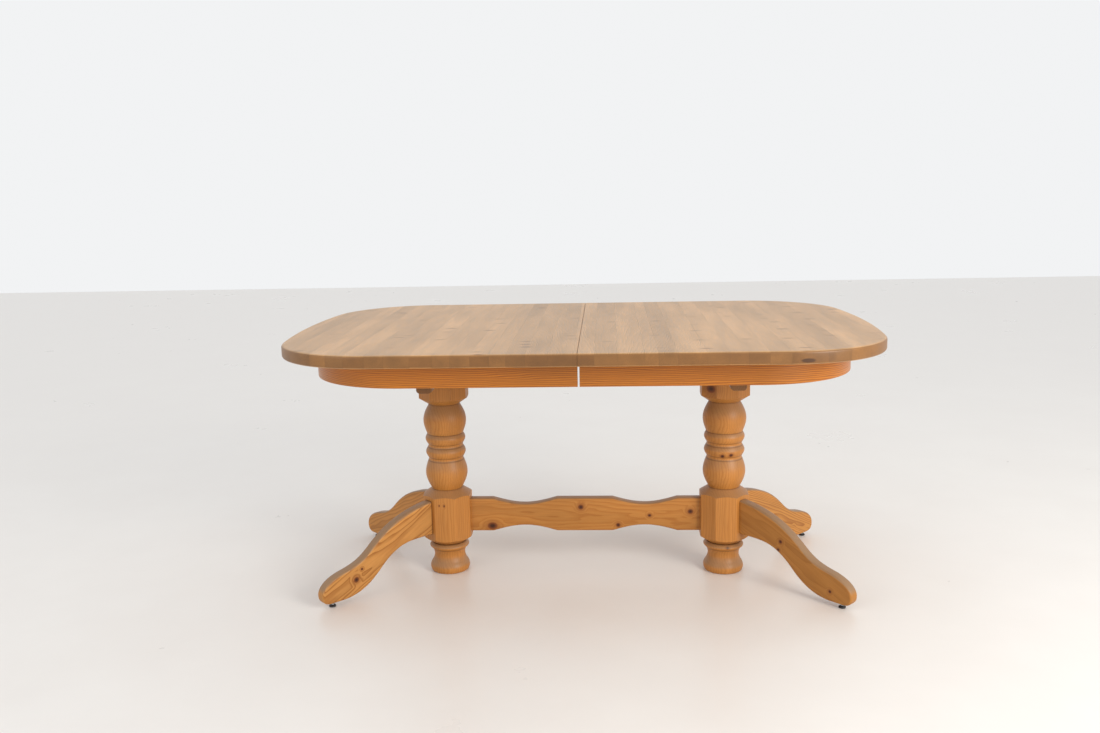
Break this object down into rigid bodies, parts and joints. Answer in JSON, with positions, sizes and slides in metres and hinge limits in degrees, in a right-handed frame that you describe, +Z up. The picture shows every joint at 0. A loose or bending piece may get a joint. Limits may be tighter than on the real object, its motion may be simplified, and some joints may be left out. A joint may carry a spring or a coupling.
{
  "type": "extending dining table",
  "caption": "Extending pine dining table with rounded corners, drawing apart at a middle seam, on turned pedestals with curved legs and a waisted stretcher.",
  "frame": {"origin": "on the floor, under the middle of the shut table top", "axes": "+X along the table to the right, +Y to the back, +Z up"},
  "size_m": [1.65, 1.07, 0.76],
  "materials": {
    "lacquered_pine": "satin lacquered pine, honey orange",
    "pine_top": "satin lacquered pine staves, worn pale",
    "pine_apron": "satin lacquered bent pine, darker orange",
    "raw_pine": "planed bare pine",
    "beech": "planed beech",
    "zinc_steel": "bright zinc plated",
    "leveller_plastic": "moulded black plastic on a steel screw"
  },
  "bodies": {
    "base": {"pedestal_left": "lacquered_pine", "pedestal_right": "lacquered_pine", "leg_front_left": "lacquered_pine", "leg_back_left": "lacquered_pine", "leg_front_right": "lacquered_pine", "leg_back_right": "lacquered_pine", "stretcher": "lacquered_pine", "bearer_left": "lacquered_pine", "bearer_right": "lacquered_pine", "guide_rail_front": "raw_pine", "guide_rail_back": "raw_pine", "leg_dowels": "beech", "stretcher_bolts": "zinc_steel", "barrel_nuts": "zinc_steel", "bearer_screws": "zinc_steel", "rail_screws": "zinc_steel", "leveller_inserts": "zinc_steel"},
    "left_half": {"top_left": "pine_top", "apron_left": "pine_apron", "runner_left_front": "raw_pine", "runner_left_back": "raw_pine", "slide_keys_left": "beech", "glue_blocks_left": "raw_pine", "runner_screws_left": "zinc_steel", "block_screws_left": "zinc_steel", "alignment_dowels": "beech"},
    "right_half": {"top_right": "pine_top", "apron_right": "pine_apron", "runner_right_front": "raw_pine", "runner_right_back": "raw_pine", "slide_keys_right": "beech", "glue_blocks_right": "raw_pine", "runner_screws_right": "zinc_steel", "block_screws_right": "zinc_steel"},
    "leveller_front_left": {"leveller_front_left": "leveller_plastic"},
    "leveller_back_left": {"leveller_back_left": "leveller_plastic"},
    "leveller_front_right": {"leveller_front_right": "leveller_plastic"},
    "leveller_back_right": {"leveller_back_right": "leveller_plastic"}
  },
  "joints": [
    {"name": "left_half_slide", "type": "slide", "parent": "base", "child": "left_half", "axis": [-1, 0, 0], "range_m": [0, 0.25]},
    {"name": "right_half_slide", "type": "slide", "parent": "base", "child": "right_half", "axis": [1, 0, 0], "range_m": [0, 0.25]},
    {"name": "leveller_front_left_screw", "type": "slide", "parent": "base", "child": "leveller_front_left", "axis": [0, 0, -1], "range_m": [0, 0.012]},
    {"name": "leveller_back_left_screw", "type": "slide", "parent": "base", "child": "leveller_back_left", "axis": [0, 0, -1], "range_m": [0, 0.012]},
    {"name": "leveller_front_right_screw", "type": "slide", "parent": "base", "child": "leveller_front_right", "axis": [0, 0, -1], "range_m": [0, 0.012]},
    {"name": "leveller_back_right_screw", "type": "slide", "parent": "base", "child": "leveller_back_right", "axis": [0, 0, -1], "range_m": [0, 0.012]}
  ]
}
